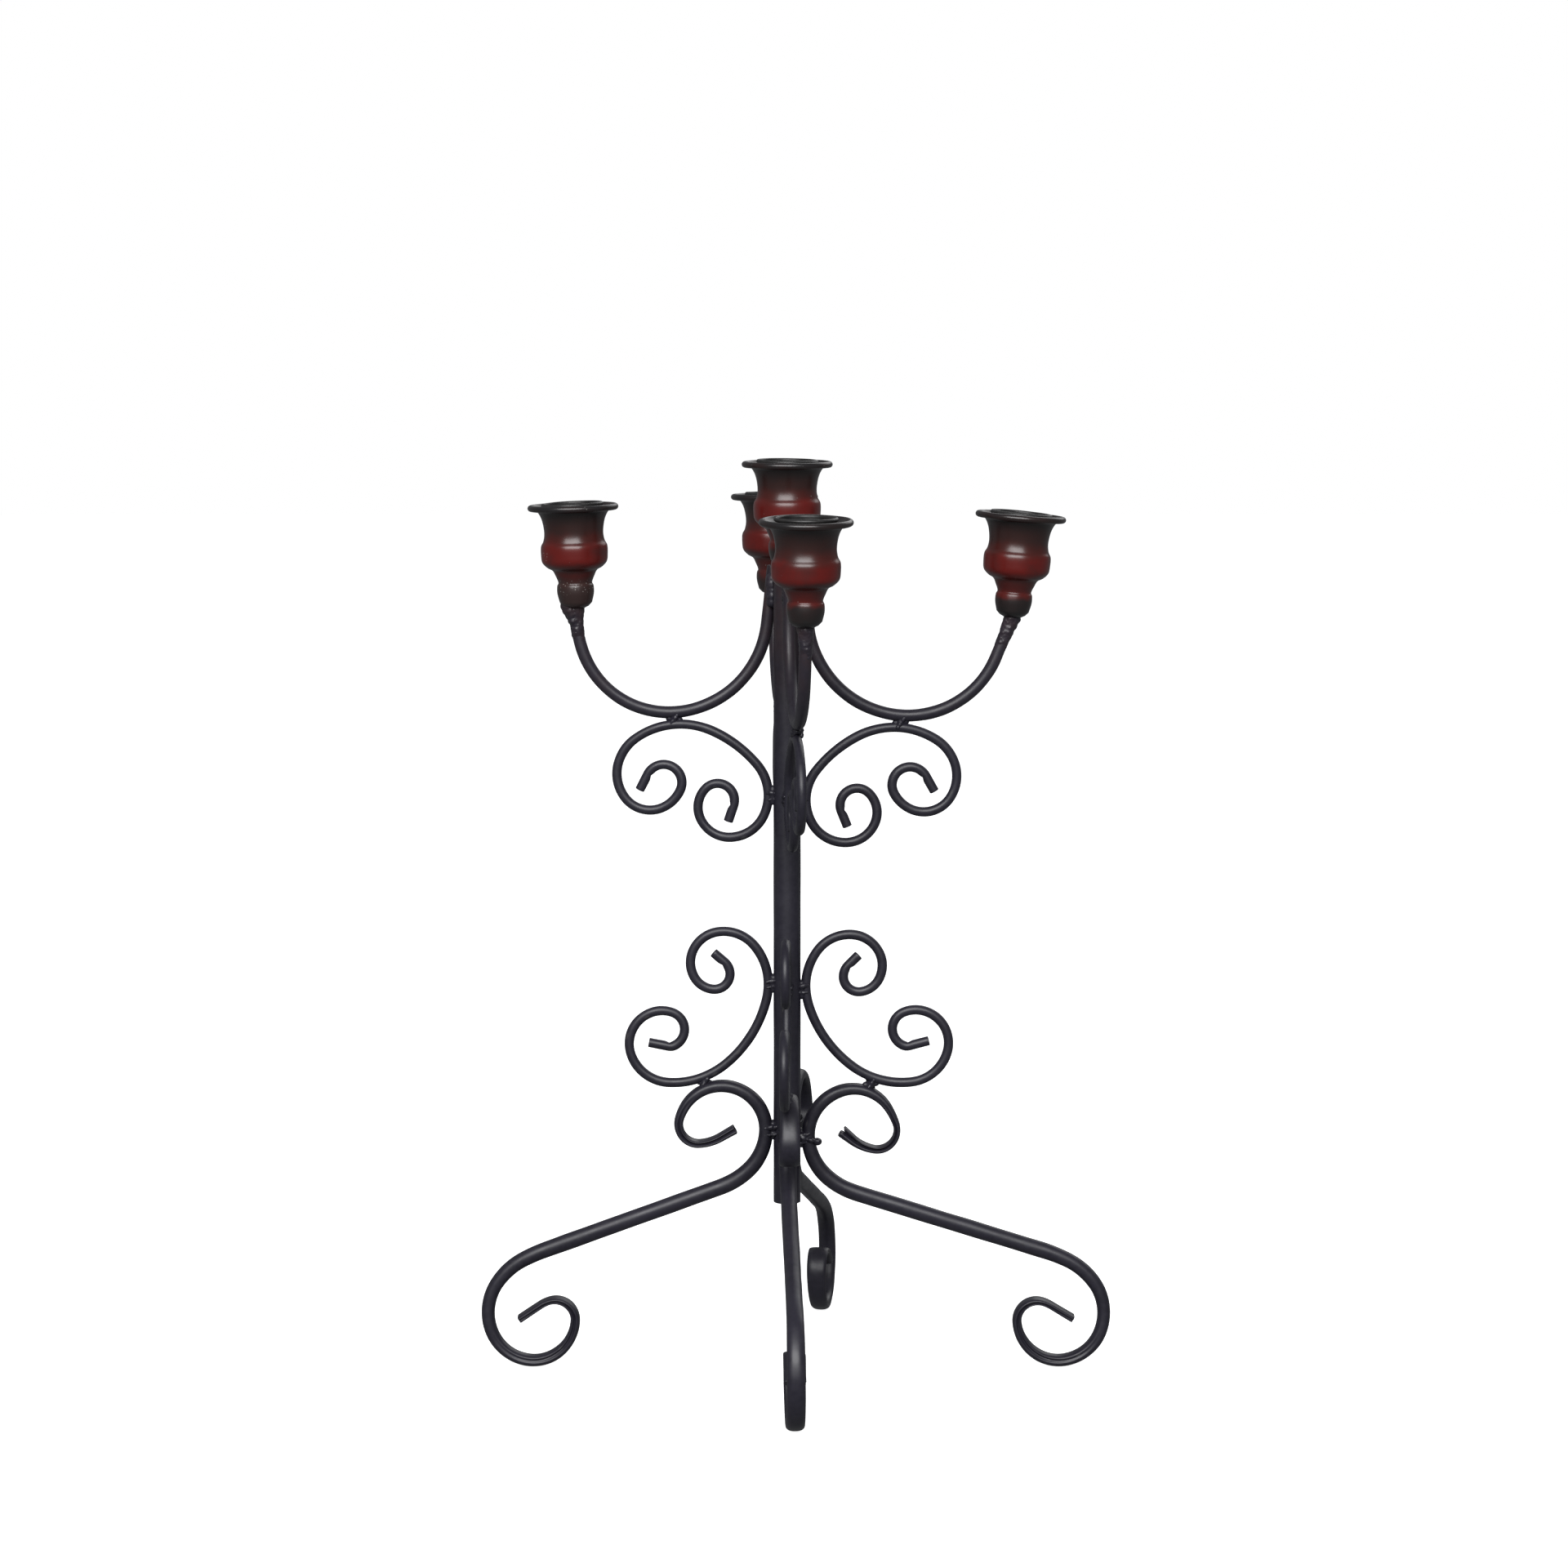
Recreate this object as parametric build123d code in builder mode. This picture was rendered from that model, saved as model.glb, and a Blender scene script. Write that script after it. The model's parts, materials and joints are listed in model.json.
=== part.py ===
# Five-light candelabrum: a tube post that carries four U-shaped arms, eight C-scrolls and four curled
# legs, and five candle cups with liners, all welded together.
from build123d import *

import os
from math import ceil, cos, degrees, radians, sin, tan

os.makedirs("parts", exist_ok=True)

# Stock, mm.
POST_X = -3.6  # the origin is on the floor, midway between the feet, and the post stands beside it
POST_R = 5.65
POST_WALL = 1.2
POST_BOTTOM = 70.0
POST_TOP = 336.1
ARM_R = 2.55
SCROLL_R = 2.0
TUBE_R = 3.4
GAP = 0.2  # left between a rod and what it is welded to
LEG_GAP = 0.3
SHEARED_EDGE = 0.4  # rounding of a scroll's end
WIDENING = 0.6  # how much a pressed tube widens for each mm that it gets thinner
STATION_TURN = 20  # a bent tube has a cross section at least every so many degrees

# Bends: (radius, turn in degrees), a straight is (length, 0). A turn to the left is positive,
# seen with the post on the left and the cup on the right.
UPPER_OUTER = [
    (20, -41), (52, -25), (32.5, -60), (19, -37), (16.5, -54), (13, -80), (15, -38), (7.5, -178), (7.5, 0),
]
UPPER_INNER = [(20, 25), (16, 65), (13, 66), (11.5, 67), (7, 156), (7, 0)]
LOWER_UPPER = [(25, -40), (16.5, -58), (13.5, -58), (12.5, -54), (10, -54), (6.5, -145), (6.2, 0)]
LOWER_OUTER = [(30, 15), (51, 35), (34.5, 43), (17.5, 68), (14, 90), (13, 38), (7.6, 132), (4, 40), (8.5, 0)]
TIGHT_CURL = [(18.5, -77), (18, -70), (22.5, -15), (8.3, -112), (20, -26), (7, 0)]
OPEN_CURL = [(20, -72), (17, -78), (33, -13), (8.3, -120), (20, -29), (5.5, 0)]
LEG_KNEE = [(23.5, 43), (31, 22), (55, 5)]
LEG_FOOT = [
    (78, -8), (30, -30), (22.5, -55), (19, -60), (17, -38), (18, -56), (8.4, -113), (16, -14), (10.5, 0),
]
# Thickness of the pressed tube in the plane of its bends, by distance from the weld on the post.
CURL_THICKNESS = [(0, 5.8), (12, 5.6), (25, 5.3), (40, 4.8), (53, 4.0), (69, 3.1), (85, 4.0)]
KNEE_THICKNESS = [(0, 5.8), (18, 6.5), (30, 6.8)]
FOOT_THICKNESS = [(0, 6.8), (27, 5.8), (48, 5.4), (80, 4.8), (97, 4.0), (113, 2.8), (128, 3.1)]

# Weld metal is a row of round beads. Along the post: radii, spacing, and how far out of the post's
# surface their centres are.
ARM_BEADS = ([2.7, 3.0, 2.8, 3.1, 2.7], 2.4, 1.2)
SCROLL_BEADS = ([2.2, 2.7, 2.4], 2.6, 0.4)
LEG_BEADS = ([2.9, 3.5, 3.1], 2.6, 0.5)
ARM_WELD_DROP = 10.0  # from the arm's top end to the middle of its weld
# Round the end of an arm, below its cup: distance back from the end, and radius.
CUP_BEADS = [(0.6, 4.3), (4.0, 3.7), (7.5, 3.3), (10.5, 2.9)]
TOP_BEAD = (0.4, 6.5)  # on top of the post: height above it, and radius
BRIDGE_BEADS = [1.7, 1.9]  # radii over half the gap that the weld fills
BRIDGE_SPACING = 2.6
SPECK = 2.0  # weld metal smaller than this, in mm3, is left off

# Sides. Azimuth 0 is +X, and the front is -Y.
SIDES = ["left", "right", "front", "back"]
# Arm: azimuth, sideways shift of its plane, start radius, first heading, bends.
ARMS = {
    "left": (182.0, -6.3, 5.56, -83.9, [(24.2, 0), (41.2, 76.7), (37.7, 78.4), (49.8, 20.4)]),
    "right": (3.0, 0.0, 8.4, -90, [(20, 0), (42, 90), (39, 68), (16.5, 0)]),
    "front": (-85.3, 0.0, 8.4, -90, [(19, 0), (41, 90), (38, 72), (53, 14), (2.8, 0)]),
    "back": (93.5, 0.0, 8.4, -90, [(19.5, 0), (41, 90), (37.5, 73), (53, 14), (3, 0)]),
}
ARM_TOP = 336.0
# Where round the post each arm's weld is: the left arm stands off centre, so its weld is beside it.
ARM_WELD_AZIMUTH = {"left": 150.0, "right": 3.0, "front": -85.3, "back": 93.5}
# Cup on its arm: outward tilt in degrees.
CUP_TILT = {"left": 1.6, "right": 4.7, "front": 3.0, "back": 1.0}
# Liner in its cup: lean from the cup's axis in degrees, and the azimuth that it leans to.
LINER_LEAN = {"top": (0.8, 0), "left": (1.2, 180), "right": (0.9, 0), "front": (1.4, 90), "back": (1.0, 40)}
# Scrolls and legs: azimuth, height of the weld on the post, turn about that weld in degrees.
UPPER_SCROLLS = {
    "left": (175.5, 241.0, 0.0),
    "right": (3.0, 238.1, 2.7),
    "front": (-85.3, 240.1, 0.0),
    "back": (93.4, 241.2, 0.0),
}
LOWER_SCROLLS = {
    "left": (180.0, 162.2, 0.0),
    "right": (0.0, 159.7, 3.6),
    "front": (-91.2, 160.6, 0.0),
    "back": (91.0, 161.0, 1.0),
}
# Leg: azimuth, turn about the weld in degrees, straight run, upper curl.
LEGS = {
    "left": (180.0, 0.0, 76.0, TIGHT_CURL),
    "right": (0.0, 2.7, 80.0, OPEN_CURL),
    "front": (-88.4, 1.4, 78.0, TIGHT_CURL),
    "back": (82.0, 1.4, 78.0, OPEN_CURL),
}

# Cup and liner, from the middle of the cup's base up.
CUP_OUTER = [
    (3.4, 0.0), (6.7, 2.4), (7.6, 6.6), (7.0, 10.8), (8.0, 13.4), (9.2, 15.7), (11.4, 17.0),
    (13.4, 19.2), (13.85, 22.3), (13.75, 25.8), (12.7, 28.0), (12.2, 31.0), (12.5, 34.4), (13.3, 37.5),
    (14.7, 40.0), (16.6, 40.7),
]
CUP_MOUTH = (14.4, 40.4)  # where the flat of the rim turns down into the cup
CUP_WALL = 0.45
CUP_HEIGHT = 43.0
RIM_R = 18.75
BEAD_R = 1.3
NECK_HEIGHT = 31.0  # the cup's narrowest place above the bulge, where the liner can rock
LINER_BORE_R = 11.25
LINER_WALL = 0.3
LINER_BOTTOM = 18.4
LINER_TOP = 43.7
LINER_LIP_R = 0.8


def upright(azimuth, shift=0.0):
    """Vertical plane beside or through the post's axis: x runs out from the post and y runs up."""
    out = Vector(cos(radians(azimuth)), sin(radians(azimuth)), 0)
    across = Vector(-out.Y, out.X, 0)
    return Plane(Vector(POST_X, 0, 0) + across * shift, x_dir=out, z_dir=Vector(out.Y, -out.X, 0))


def bend(plane, start, heading, bends):
    """Centre line of a bent rod, as edges in order, from a start point and heading in the plane."""
    edges = []
    with BuildLine(plane):
        point = plane.from_local_coords(start)
        way = plane.x_dir * cos(radians(heading)) + plane.y_dir * sin(radians(heading))
        for size, turn in bends:
            if turn:
                edges.append(JernArc(point, way, size, turn))
            else:
                edges.append(Line(point, point + way * size))
            point = edges[-1] @ 1
            way = edges[-1] % 1
    return edges


def rod(plane, edges, radius, edge=0.0):
    """Round rod along a centre line, with its two sheared ends eased if an edge radius is given."""
    path = Wire(edges)
    with BuildPart() as piece:
        with BuildSketch(Plane(path @ 0, x_dir=plane.z_dir, z_dir=path % 0)):
            Circle(radius)
        sweep(path=path)
        if edge:
            fillet(piece.faces().filter_by(GeomType.PLANE).edges(), edge)
    return piece.part


def save(part, name):
    part.label = name
    export_step(part, f"parts/{name}.step")


def thickness(table, distance):
    """Value at a distance, straight between the table's rows."""
    for (near, first), (far, last) in zip(table, table[1:]):
        if distance <= far:
            return first + (last - first) * max(0.0, distance - near) / (far - near)
    return table[-1][1]


def stations(edges, table):
    """Points along a chain of edges, each with its heading and the tube's thickness there."""
    travelled = 0.0
    row = []
    for edge in edges:
        turn = degrees(edge.length / edge.radius) if edge.geom_type == GeomType.CIRCLE else 0
        steps = max(3, ceil(turn / STATION_TURN))
        for step in range(steps):
            at = step / steps
            row.append((edge @ at, edge % at, thickness(table, travelled + edge.length * at)))
        travelled += edge.length
    row.append((edges[-1] @ 1, edges[-1] % 1, thickness(table, travelled)))
    return row


def pressed_tube(plane, row):
    """Tube with pressed ends: where it is thinner it is wider, as its outline's length stays the same."""
    with BuildPart() as piece:
        for point, way, thick in row:
            wide = 2 * TUBE_R + (2 * TUBE_R - thick) * WIDENING
            with BuildSketch(Plane(point, x_dir=plane.z_dir.cross(way), z_dir=way)):
                Ellipse(thick / 2, wide / 2)
        loft()
    return piece.part


def weld(beads, neighbours):
    """Weld metal: a row of overlapping round beads, cut back by the pieces that it joins."""
    with BuildPart() as bead:
        for centre, radius in beads:
            with Locations(centre):
                Sphere(radius)
        for neighbour in neighbours:
            add(neighbour, mode=Mode.SUBTRACT)
    return Compound([solid for solid in bead.solids() if solid.volume > SPECK])


def post_row(plane, height, radii, spacing, out):
    """Centres and radii of a row of beads up the post, on the side that the plane faces."""
    bottom = height - (len(radii) - 1) / 2 * spacing
    places = [(POST_R + out, bottom + spacing * count) for count in range(len(radii))]
    return [(plane.from_local_coords(place), radius) for place, radius in zip(places, radii)]


def bridge(plane, first, second):
    """Weld between two rods that all but touch, centred where they come closest."""
    gap, near, far = first.distance_to_with_closest_points(second)
    middle = (near + far) / 2
    row = []
    for side, radius in zip((-1, 1), BRIDGE_BEADS):
        row.append((middle + plane.x_dir * side * BRIDGE_SPACING / 2, radius + gap / 2))
    return weld(row, [second, first])


def cup_plane(plane, base, tilt):
    """Plane across a cup's base: its z is the cup's axis, tilted outwards from upright."""
    axis = plane.y_dir * cos(radians(tilt)) + plane.x_dir * sin(radians(tilt))
    return Plane(base, x_dir=-plane.z_dir, z_dir=axis)


def section_plane(base):
    """Plane through the axis of a turned piece: x runs out from the axis and y runs up it."""
    return Plane(base.origin, x_dir=base.x_dir, z_dir=-base.y_dir)


def cup(base):
    """Spun sheet cup with a rolled rim."""
    inner = [(x - CUP_WALL, y) for x, y in CUP_OUTER[2:-2]]
    with BuildPart() as piece:
        with BuildSketch(section_plane(base)):
            with BuildLine():
                outside = Spline(*CUP_OUTER)
                lip = Line(outside @ 1, outside @ 1 + Vector(0, CUP_WALL))
                inside = Spline(lip @ 1, CUP_MOUTH, *reversed(inner))
                floor = Line(inside @ 1, (0, CUP_OUTER[2][1]))
                Polyline(floor @ 1, (0, 0), outside @ 0)
            make_face()
            with Locations((RIM_R - BEAD_R, CUP_HEIGHT - BEAD_R)):
                Circle(BEAD_R)
        revolve(axis=Axis(base.origin, base.z_dir))
    return piece.part


def leaning(base, lean, azimuth):
    """The cup's base plane, turned about the middle of its neck so that its axis leans to an azimuth."""
    way = Vector(cos(radians(azimuth)), sin(radians(azimuth)), 0)
    axis = (base.z_dir + way * tan(radians(lean))).normalized()
    neck = base.origin + base.z_dir * NECK_HEIGHT
    return Plane(neck - axis * NECK_HEIGHT, z_dir=axis)


def liner(base):
    """Candle liner: a thin cup that stands on the shoulder inside, with a rolled lip above the rim."""
    with BuildPart() as piece:
        with BuildSketch(section_plane(base)):
            with BuildLine():
                Polyline(
                    (0, LINER_BOTTOM),
                    (LINER_BORE_R + LINER_WALL, LINER_BOTTOM),
                    (LINER_BORE_R + LINER_WALL, LINER_TOP - LINER_LIP_R),
                    (LINER_BORE_R, LINER_TOP - LINER_LIP_R),
                    (LINER_BORE_R, LINER_BOTTOM + LINER_WALL),
                    (0, LINER_BOTTOM + LINER_WALL),
                    close=True,
                )
            make_face()
            with Locations((LINER_BORE_R + LINER_LIP_R, LINER_TOP - LINER_LIP_R)):
                Circle(LINER_LIP_R)
        revolve(axis=Axis(base.origin, base.z_dir))
    return piece.part


def make_arm(side):
    """Arm, the plane across the base of its cup, and the row of beads round its top end."""
    azimuth, shift, start, heading, bends = ARMS[side]
    plane = upright(azimuth, shift)
    edges = bend(plane, (start, ARM_TOP), heading, bends)
    tip = edges[-1] @ 1
    way = edges[-1] % 1
    axis = cup_plane(plane, tip, CUP_TILT[side]).z_dir
    rise = GAP + ARM_R * tan(radians(way.get_angle(axis)))
    base = cup_plane(plane, tip + way * rise, CUP_TILT[side])
    row = [(tip - way * back, radius) for back, radius in CUP_BEADS]
    return rod(plane, edges, ARM_R), base, row


def make_scroll(azimuth, height, turn, outer, inner):
    plane = upright(azimuth)
    start = (POST_R + SCROLL_R + GAP, height)
    edges = bend(plane, start, 90 + turn, outer) + bend(plane, start, turn - 90, inner)
    return rod(plane, edges, SCROLL_R, SHEARED_EDGE)


def make_leg(side):
    """Leg, made at floor level and then set down on the floor, and the height of its weld on the post."""
    azimuth, turn, run, upper_curl = LEGS[side]
    plane = upright(azimuth)
    start = (POST_R + CURL_THICKNESS[0][1] / 2 + LEG_GAP, 0)
    curl = bend(plane, start, 90 + turn, upper_curl)
    knee = bend(plane, start, turn - 90, LEG_KNEE + [(run, 0)] + LEG_FOOT)
    upper = [(point, -way, thick) for point, way, thick in reversed(stations(curl, CURL_THICKNESS))]
    middle = stations(knee[: len(LEG_KNEE) + 1], KNEE_THICKNESS)
    foot = stations(knee[len(LEG_KNEE) + 1 :], FOOT_THICKNESS)
    leg = pressed_tube(plane, upper[:-1] + middle[:-1] + foot)
    drop = leg.bounding_box().min.Z
    return leg.moved(Location((0, 0, -drop))), -drop


with BuildPart() as tube:
    with BuildSketch(Plane((POST_X, 0, POST_BOTTOM))):
        Circle(POST_R)
        Circle(POST_R - POST_WALL, mode=Mode.SUBTRACT)
    extrude(amount=POST_TOP - POST_BOTTOM)
post = tube.part
save(post, "post")

arms = {}
bases = {"top": Plane((POST_X, 0, POST_TOP + GAP))}
cup_rows = {"top": [(Vector(POST_X, 0, POST_TOP + TOP_BEAD[0]), TOP_BEAD[1])]}
supports = {"top": [post]}
for side in SIDES:
    arms[side], bases[side], cup_rows[side] = make_arm(side)
    save(arms[side], f"arm_{side}")
    supports[side] = [arms[side]]
    arm_row = post_row(upright(ARM_WELD_AZIMUTH[side]), ARM_TOP - ARM_WELD_DROP, *ARM_BEADS)
    arm_weld = weld(arm_row, [arms[side], post])
    save(arm_weld, f"arm_weld_{side}")
    supports["top"] += [arms[side], arm_weld]

for place, base in bases.items():
    candle_cup = cup(base)
    save(candle_cup, f"cup_{place}")
    save(liner(leaning(base, *LINER_LEAN[place])), f"liner_{place}")
    save(weld(cup_rows[place], [candle_cup] + supports[place]), f"cup_weld_{place}")

for side in SIDES:
    upper = make_scroll(*UPPER_SCROLLS[side], UPPER_OUTER, UPPER_INNER)
    lower = make_scroll(*LOWER_SCROLLS[side], LOWER_UPPER, LOWER_OUTER)
    leg, leg_weld_height = make_leg(side)
    save(upper, f"upper_scroll_{side}")
    save(lower, f"lower_scroll_{side}")
    save(leg, f"leg_{side}")

    upper_plane = upright(UPPER_SCROLLS[side][0])
    lower_plane = upright(LOWER_SCROLLS[side][0])
    leg_plane = upright(LEGS[side][0])
    upper_row = post_row(upper_plane, UPPER_SCROLLS[side][1], *SCROLL_BEADS)
    save(weld(upper_row, [upper, post]), f"upper_weld_{side}")
    lower_row = post_row(lower_plane, LOWER_SCROLLS[side][1], *SCROLL_BEADS)
    save(weld(lower_row, [lower, post]), f"lower_weld_{side}")
    leg_row = post_row(leg_plane, leg_weld_height, *LEG_BEADS)
    save(weld(leg_row, [leg, post]), f"leg_weld_{side}")

    save(bridge(upper_plane, arms[side], upper), f"arm_scroll_weld_{side}")
    save(bridge(lower_plane, lower, leg), f"scroll_leg_weld_{side}")
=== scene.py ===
import json
from math import ceil, copysign, cos, exp, pi, radians, sin
from random import Random

import bmesh
import bpy
from mathutils import Matrix, Vector, noise


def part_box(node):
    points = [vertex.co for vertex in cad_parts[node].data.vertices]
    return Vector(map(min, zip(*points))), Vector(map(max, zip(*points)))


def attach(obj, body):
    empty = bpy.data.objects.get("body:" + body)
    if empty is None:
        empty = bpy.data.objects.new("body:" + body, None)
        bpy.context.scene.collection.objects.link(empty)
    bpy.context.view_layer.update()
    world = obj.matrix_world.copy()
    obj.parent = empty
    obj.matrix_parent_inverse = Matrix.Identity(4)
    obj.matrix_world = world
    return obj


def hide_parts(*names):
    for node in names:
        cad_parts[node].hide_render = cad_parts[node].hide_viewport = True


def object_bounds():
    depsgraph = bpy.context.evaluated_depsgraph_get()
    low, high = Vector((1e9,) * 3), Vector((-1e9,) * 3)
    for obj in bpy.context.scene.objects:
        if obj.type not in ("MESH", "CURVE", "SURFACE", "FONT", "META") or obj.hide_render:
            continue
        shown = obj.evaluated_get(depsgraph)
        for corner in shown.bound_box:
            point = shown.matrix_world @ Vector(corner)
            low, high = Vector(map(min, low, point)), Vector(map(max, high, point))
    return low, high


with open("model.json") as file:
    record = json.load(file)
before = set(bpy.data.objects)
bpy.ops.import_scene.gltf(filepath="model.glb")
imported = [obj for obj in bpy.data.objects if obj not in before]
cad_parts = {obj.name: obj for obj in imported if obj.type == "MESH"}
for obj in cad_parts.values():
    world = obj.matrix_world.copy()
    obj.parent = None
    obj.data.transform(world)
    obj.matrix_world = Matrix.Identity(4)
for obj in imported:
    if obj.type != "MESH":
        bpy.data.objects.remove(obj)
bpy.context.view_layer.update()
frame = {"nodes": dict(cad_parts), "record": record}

MM = 0.001
SIDES = ["left", "right", "front", "back"]
PLACES = ["top"] + SIDES
UP = Vector((0, 0, 1))
POST_LOW, POST_HIGH = (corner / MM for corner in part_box("post"))
POST_X = (POST_LOW.x + POST_HIGH.x) / 2
POST_R = (POST_HIGH.x - POST_LOW.x) / 2
POST_WALL = 1.2

# Rods and tubes, in mm. A bend is (radius, turn in degrees) and a straight is (length, 0). A turn to the
# left is positive, seen with the post on the left.
ARM_R = 2.55
SCROLL_R = 2.0
TUBE_R = 3.4
TUBE_WALL = 0.9
# Upper scroll, from its weld on the post: up and out to the outer curl, and down to the inner curl.
UPPER_OUTER = [
    (20, -41), (52, -25), (32.5, -60), (19, -37), (16.5, -54),
    (13, -80), (15, -38), (7.5, -178), (7.5, 0),
]
UPPER_INNER = [(20, 25), (16, 65), (13, 66), (11.5, 67), (7, 156), (7, 0)]
# Lower scroll, from its weld on the post: up to the upper curl, and down and out to the outer curl.
LOWER_UPPER = [(25, -40), (16.5, -58), (13.5, -58), (12.5, -54), (10, -54), (6.5, -145), (6.2, 0)]
LOWER_OUTER = [
    (30, 15), (51, 35), (34.5, 43), (17.5, 68), (14, 90),
    (13, 38), (7.6, 132), (4, 40), (8.5, 0),
]
# Leg, from its weld on the post: up into a tight or an open curl, and down through the knee and a
# straight run to the foot's curl.
TIGHT_CURL = [(18.5, -77), (18, -70), (22.5, -15), (8.3, -112), (20, -26), (7, 0)]
OPEN_CURL = [(20, -72), (17, -78), (33, -13), (8.3, -120), (20, -29), (5.5, 0)]
LEG_KNEE = [(23.5, 43), (31, 22), (55, 5)]
LEG_FOOT = [
    (78, -8), (30, -30), (22.5, -55), (19, -60), (17, -38), (18, -56), (8.4, -113), (16, -14), (10.5, 0),
]
# Azimuth of each rod's plane, where 0 is +X and the front is -Y, and its heading or turn in degrees.
ARMS = {
    "left": (182.0, -83.9, [(24.2, 0), (41.2, 76.7), (37.7, 78.4), (49.8, 20.4)]),
    "right": (3.0, -90, [(20, 0), (42, 90), (39, 68), (16.5, 0)]),
    "front": (-85.3, -90, [(19, 0), (41, 90), (38, 72), (53, 14), (2.8, 0)]),
    "back": (93.5, -90, [(19.5, 0), (41, 90), (37.5, 73), (53, 14), (3, 0)]),
}
UPPER_SCROLLS = {"left": (175.5, 0.0), "right": (3.0, 2.7), "front": (-85.3, 0.0), "back": (93.4, 0.0)}
LOWER_SCROLLS = {"left": (180.0, 0.0), "right": (0.0, 3.6), "front": (-91.2, 0.0), "back": (91.0, 1.0)}
# Leg: azimuth, turn, straight run, upper curl, and whether that curl's end is an open mouth.
LEGS = {
    "left": (180.0, 0.0, 76.0, TIGHT_CURL, False),
    "right": (0.0, 2.7, 80.0, OPEN_CURL, True),
    "front": (-88.4, 1.4, 78.0, TIGHT_CURL, False),
    "back": (82.0, 1.4, 78.0, OPEN_CURL, True),
}
# A leg's tube is pressed flat towards both ends. These are its thicknesses in the plane of its bends: along
# the upper curl and the knee by distance from the weld, and along the foot by distance from its start.
CURL_THICKNESS = [(0, 5.8), (12, 5.6), (25, 5.3), (40, 4.8), (53, 4.0), (69, 3.1), (85, 4.0)]
MOUTH_THICKNESS = [
    (0, 5.8), (12, 5.6), (25, 5.3), (40, 4.3), (50, 3.3),
    (58, 2.8), (72, 2.8), (80, 3.7), (88, 5.1),
]
KNEE_THICKNESS = [(0, 5.8), (18, 6.5), (30, 6.8)]
FOOT_THICKNESS = [(0, 6.8), (27, 5.8), (48, 5.4), (80, 4.8), (97, 4.0), (113, 2.8), (128, 3.1)]
WIDENING = 0.6  # what a pressed tube gains in width, as a share of what it loses in thickness
FLATTENING = 0.7  # how fast its round outline turns into a slab as it gets thinner
# Depth of the crease in the narrow sides of a pressed tube, as a share of its half width, by distance from
# the tube's end. An open mouth is the end of an upper curl that wasn't pressed shut.
CURL_CREASE = [(0, 0.3), (10, 0.34), (24, 0.34), (34, 0.2), (44, 0.0)]
MOUTH_CREASE = [(0, 0.75), (3, 0.66), (10, 0.56), (20, 0.42), (30, 0.3), (42, 0.1), (50, 0.0)]
FOOT_CREASE = [(0, 0.14), (14, 0.2), (30, 0.32), (50, 0.24), (66, 0.15), (82, 0.0)]
CREASE_WIDTH = 0.27  # as a share of the tube's half thickness, like the places of the creases below
CURL_CREASE_PLACE = 0.12
MOUTH_CREASE_PLACE = 0.32
FOOT_CREASE_PLACE = -0.16
# The open mouth is bitten out at its creases: how far back, by distance from the end.
MOUTH_BITE = [(0, 2.2), (1.5, 1.2), (4, 0.0)]

STEP = 0.9  # between rings along a rod
RING = 44  # points round a rod
LEG_RING = 72  # points round a leg's tube
NICK_DEPTH = 0.65  # of the nick that the bending jaw left in a scroll
NICK_LENGTH = 0.9
# Rings at an end, as (distance back from it, how much smaller), from the middle of the end face on.
SHEARED_END = [(0.0, 0.32), (0.1, 0.1), (0.32, 0.0)]
HOLLOW_END = [
    (4.5, TUBE_WALL), (0.2, TUBE_WALL), (0.0, TUBE_WALL - 0.15),
    (0.0, 0.2), (0.12, 0.05), (0.32, 0.0),
]
# Unevenness of hand-worked surfaces, as (height, wavelength).
ROD_WAVES = (0.1, 11)
POST_WAVES = (0.08, 14)
CUP_WAVES = (0.14, 15)
LINER_WAVES = (0.06, 9)
WELD_WAVES = (0.3, 3.4)
WELD_RIPPLES = (0.07, 1.1)

# Cup and liner, from the middle of the cup's base up, in mm. Each cup leans outwards by a few degrees, and
# the red of its knob is sooted over to a different degree.
CUP_TILT = {"top": 0.0, "left": 1.6, "right": 4.7, "front": 3.0, "back": 1.0}
KNOB_REDS = {"top": 0.9, "left": 0.12, "right": 1.0, "front": 1.0, "back": 0.7}
CUP_OUTER = [
    (6.7, 2.4), (7.6, 6.2), (7.55, 9.3), (7.0, 10.8), (8.0, 13.4), (9.2, 15.7), (11.4, 17.0),
    (13.4, 19.2), (13.85, 22.3), (13.75, 25.8), (12.7, 28.0), (12.2, 31.0), (12.5, 34.4), (13.3, 37.5),
    (14.7, 40.0), (16.2, 40.75),
]
CUP_FOOT = [(0.0, 0.0), (3.4, 0.0), (5.3, 0.95)]
CUP_THROAT = [(16.2, 42.1), (15.3, 41.5), (14.3, 40.5)]
CUP_WALL = 0.45
CUP_HEIGHT = 43.0
RIM_R = 18.75
BEAD_R = 1.3  # of the rolled rim
SOCKET_HEIGHT = 30.8  # of the record's candle socket point above the cup's base
LINER_BORE_R = 11.25
LINER_WALL = 0.3
LINER_BOTTOM = 18.4
LINER_TOP = 43.7
LINER_LIP_R = 0.8
LINER_CORNER_R = 1.0
TURNED_SEGMENTS = 128
BORE_DEPTH = 40  # of the post's open lower end
BORE_EDGE = (0.15, 0.2)  # how far the sharp edge of that bore is broken: out and up
# Broken outer edges of the post, as (from its radius, from its end).
POST_LOWER_EDGE = [(-0.25, 0.0), (-0.06, 0.1), (0.0, 0.35)]
POST_UPPER_EDGE = [(-0.1, -0.1), (-0.3, 0.0)]
POST_WALL_FROM = 1.0  # above its lower end, where its even rings start
POST_WALL_TO = 0.5  # below its upper end
POST_RINGS = 60


def table_value(table, at):
    """Value at a place, straight between the table's rows."""
    for (near, first), (far, last) in zip(table, table[1:]):
        if at <= far:
            return first + (last - first) * max(0.0, at - near) / (far - near)
    return table[-1][1]


# Meshes


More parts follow.
